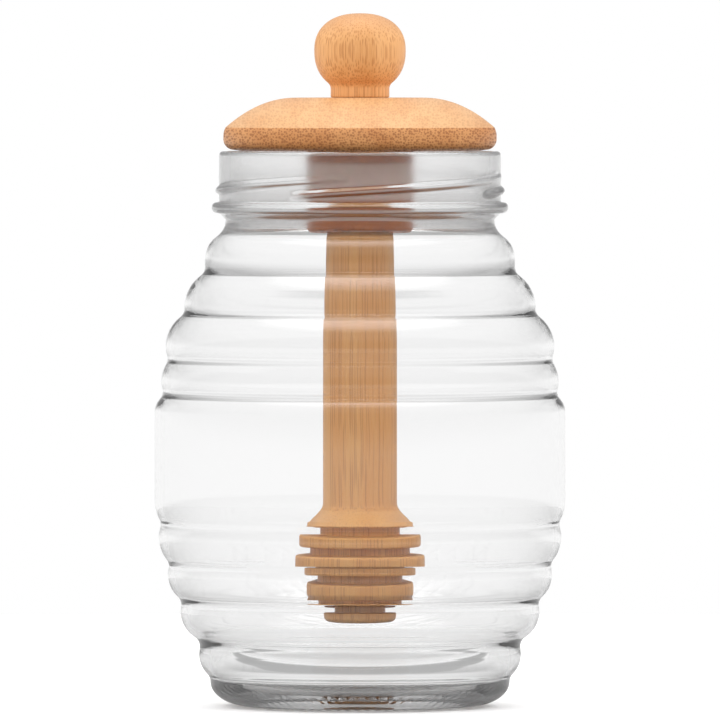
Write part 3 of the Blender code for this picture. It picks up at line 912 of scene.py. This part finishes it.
# %% The four bamboo pieces
NOISE_RANGE = (0.35, 0.65)
BROAD_SHARE = 0.6
SATIN_ROUGHNESS = (0.42, 0.6)
SATIN_SPECULAR = 0.35
RELIEF_STRENGTH = 0.25
RELIEF_DEPTH = 0.00008
TOP_TONE = 0.5
UPRIGHT = (0.0, 0.0, 0.0)
ALONG_Y = (math.pi / 2, 0.0, 0.0)
LID_BAMBOO = {
    "pale": linear(208, 148, 92),
    "warm": linear(190, 126, 72),
    "dot": linear(134, 77, 40),
    # painted highlight: the dome is lighter and paler than the side, standing in for the light it
    # mirrors from above
    "top": linear(212, 166, 117),
    "turn": ALONG_Y,
    "spacing": 0.0006,
    "dot_size": 0.34,
    "marks": 0.62,
    "top_marks": 0.2,
    "top_faces": (0.5, 0.68),
}
KNOB_BAMBOO = {
    "pale": linear(230, 174, 116),
    "warm": linear(214, 154, 94),
    "dot": linear(166, 104, 54),
    # painted shade: the knob gets darker the more it looks up, which takes back some of the strong light
    # from above
    "top": linear(196, 146, 100),
    "turn": UPRIGHT,
    "spacing": 0.0005,
    "dot_size": 0.27,
    "marks": 0.5,
    "top_marks": 0.4,
    "top_faces": (0.2, 0.95),
}
BOSS_BAMBOO = {
    "pale": linear(185, 101, 25),
    "warm": linear(170, 87, 20),
    "dot": linear(89, 43, 15),
    "top": linear(185, 101, 25),
    "turn": ALONG_Y,
    "spacing": 0.0006,
    "dot_size": 0.32,
    "marks": 0.6,
    "top_marks": 0.6,
    "top_faces": (0.5, 0.68),
}
DIPPER_BAMBOO = {
    "pale": linear(214, 159, 96),
    "warm": linear(206, 144, 81),
    "dot": linear(160, 100, 50),
    # painted highlight: faces of the dipper that look up are a little lighter
    "top": linear(216, 164, 103),
    "turn": UPRIGHT,
    "spacing": 0.0005,
    "dot_size": 0.24,
    "marks": 0.46,
    "top_marks": 0.2,
    "top_faces": (0.5, 0.68),
}
lid_finish = make_bamboo("lid_bamboo_satin", **LID_BAMBOO)
knob_finish = make_bamboo("knob_bamboo_satin", **KNOB_BAMBOO)
boss_finish = make_bamboo("boss_bamboo_satin", **BOSS_BAMBOO)
dipper_finish = make_bamboo("dipper_bamboo_satin", **DIPPER_BAMBOO)
lid.data.materials.append(lid_finish)
knob.data.materials.append(knob_finish)
boss.data.materials.append(boss_finish)
dipper.data.materials.append(dipper_finish)
finishes = (lid_finish, knob_finish, boss_finish, dipper_finish)
print("bamboo finishes:", [finish.name for finish in finishes])

# %% [markdown]
# ## Silicone
#
# The sleeve is soft, milky silicone: light goes a little way into it, and its face is matt.

# %% Silicone material
SILICONE_PALE = linear(207, 181, 169)
SILICONE_DIM = linear(199, 172, 160)
CLOUD_SCALE = 400.0
CLOUD_RANGE = (0.3, 0.7)
SILICONE_ROUGHNESS = 0.45
LIGHT_INSIDE = 0.25
LIGHT_DEPTH = 0.001
SKIN_SCALE = 5000.0
SKIN_STRENGTH = 0.2
SKIN_DEPTH = 0.00003

silicone = bpy.data.materials.new("milky_silicone_matt")
silicone.use_nodes = True
tree = silicone.node_tree
place = add_node(tree, "ShaderNodeTexCoord").outputs["Object"]
cloud = noise(tree, place, CLOUD_SCALE, 3.0).outputs["Fac"]
milky = mix_colours(tree, ramp(tree, cloud, *CLOUD_RANGE), SILICONE_PALE, SILICONE_DIM)
shader = tree.nodes["Principled BSDF"]
tree.links.new(milky, shader.inputs["Base Color"])
shader.inputs["Roughness"].default_value = SILICONE_ROUGHNESS
shader.inputs["Subsurface Weight"].default_value = LIGHT_INSIDE
shader.inputs["Subsurface Scale"].default_value = LIGHT_DEPTH
skin = noise(tree, place, SKIN_SCALE, 1.0).outputs["Fac"]
relief = {"Height": skin, "Strength": SKIN_STRENGTH, "Distance": SKIN_DEPTH}
bump = add_node(tree, "ShaderNodeBump", relief)
tree.links.new(bump.outputs[0], shader.inputs["Normal"])
sleeve.data.materials.append(silicone)
print("silicone:", silicone.name)

# %% [markdown]
# ## Floor
#
# A plain pale disc that the jar stands on. The camera sees it white, as the backdrop. The glass
# sees it darker, which makes the heel grey. It throws only little light up at the wood, because in
# the photograph the lid is dark underneath.

# %% Floor
FLOOR_SIZE = 0.5
FLOOR_LEVEL = -0.0002
FLOOR_COLUMNS = 96
FLOOR_SEEN = 0.96
FLOOR_IN_GLASS = 0.37
FLOOR_ON_WOOD = 0.2
PAPER_ROUGHNESS = 0.8

floor_outline = [(0, FLOOR_LEVEL), (FLOOR_SIZE, FLOOR_LEVEL)]
studio_floor = turned("studio_floor", floor_outline, FLOOR_COLUMNS)
studio_floor.parent = None
paper = bpy.data.materials.new("pale_floor")
paper.use_nodes = True
tree = paper.node_tree
shader = tree.nodes["Principled BSDF"]
light_path = add_node(tree, "ShaderNodeLightPath").outputs
unseen = ramp(tree, light_path["Diffuse Depth"], 0.0, 1.0, FLOOR_IN_GLASS, FLOOR_ON_WOOD)
lightness = ramp(tree, light_path["Is Camera Ray"], 0.0, 1.0, unseen, FLOOR_SEEN)
grey = add_node(tree, "ShaderNodeCombineColor", {0: lightness, 1: lightness, 2: lightness})
tree.links.new(grey.outputs[0], shader.inputs["Base Color"])
shader.inputs["Roughness"].default_value = PAPER_ROUGHNESS
studio_floor.data.materials.append(paper)
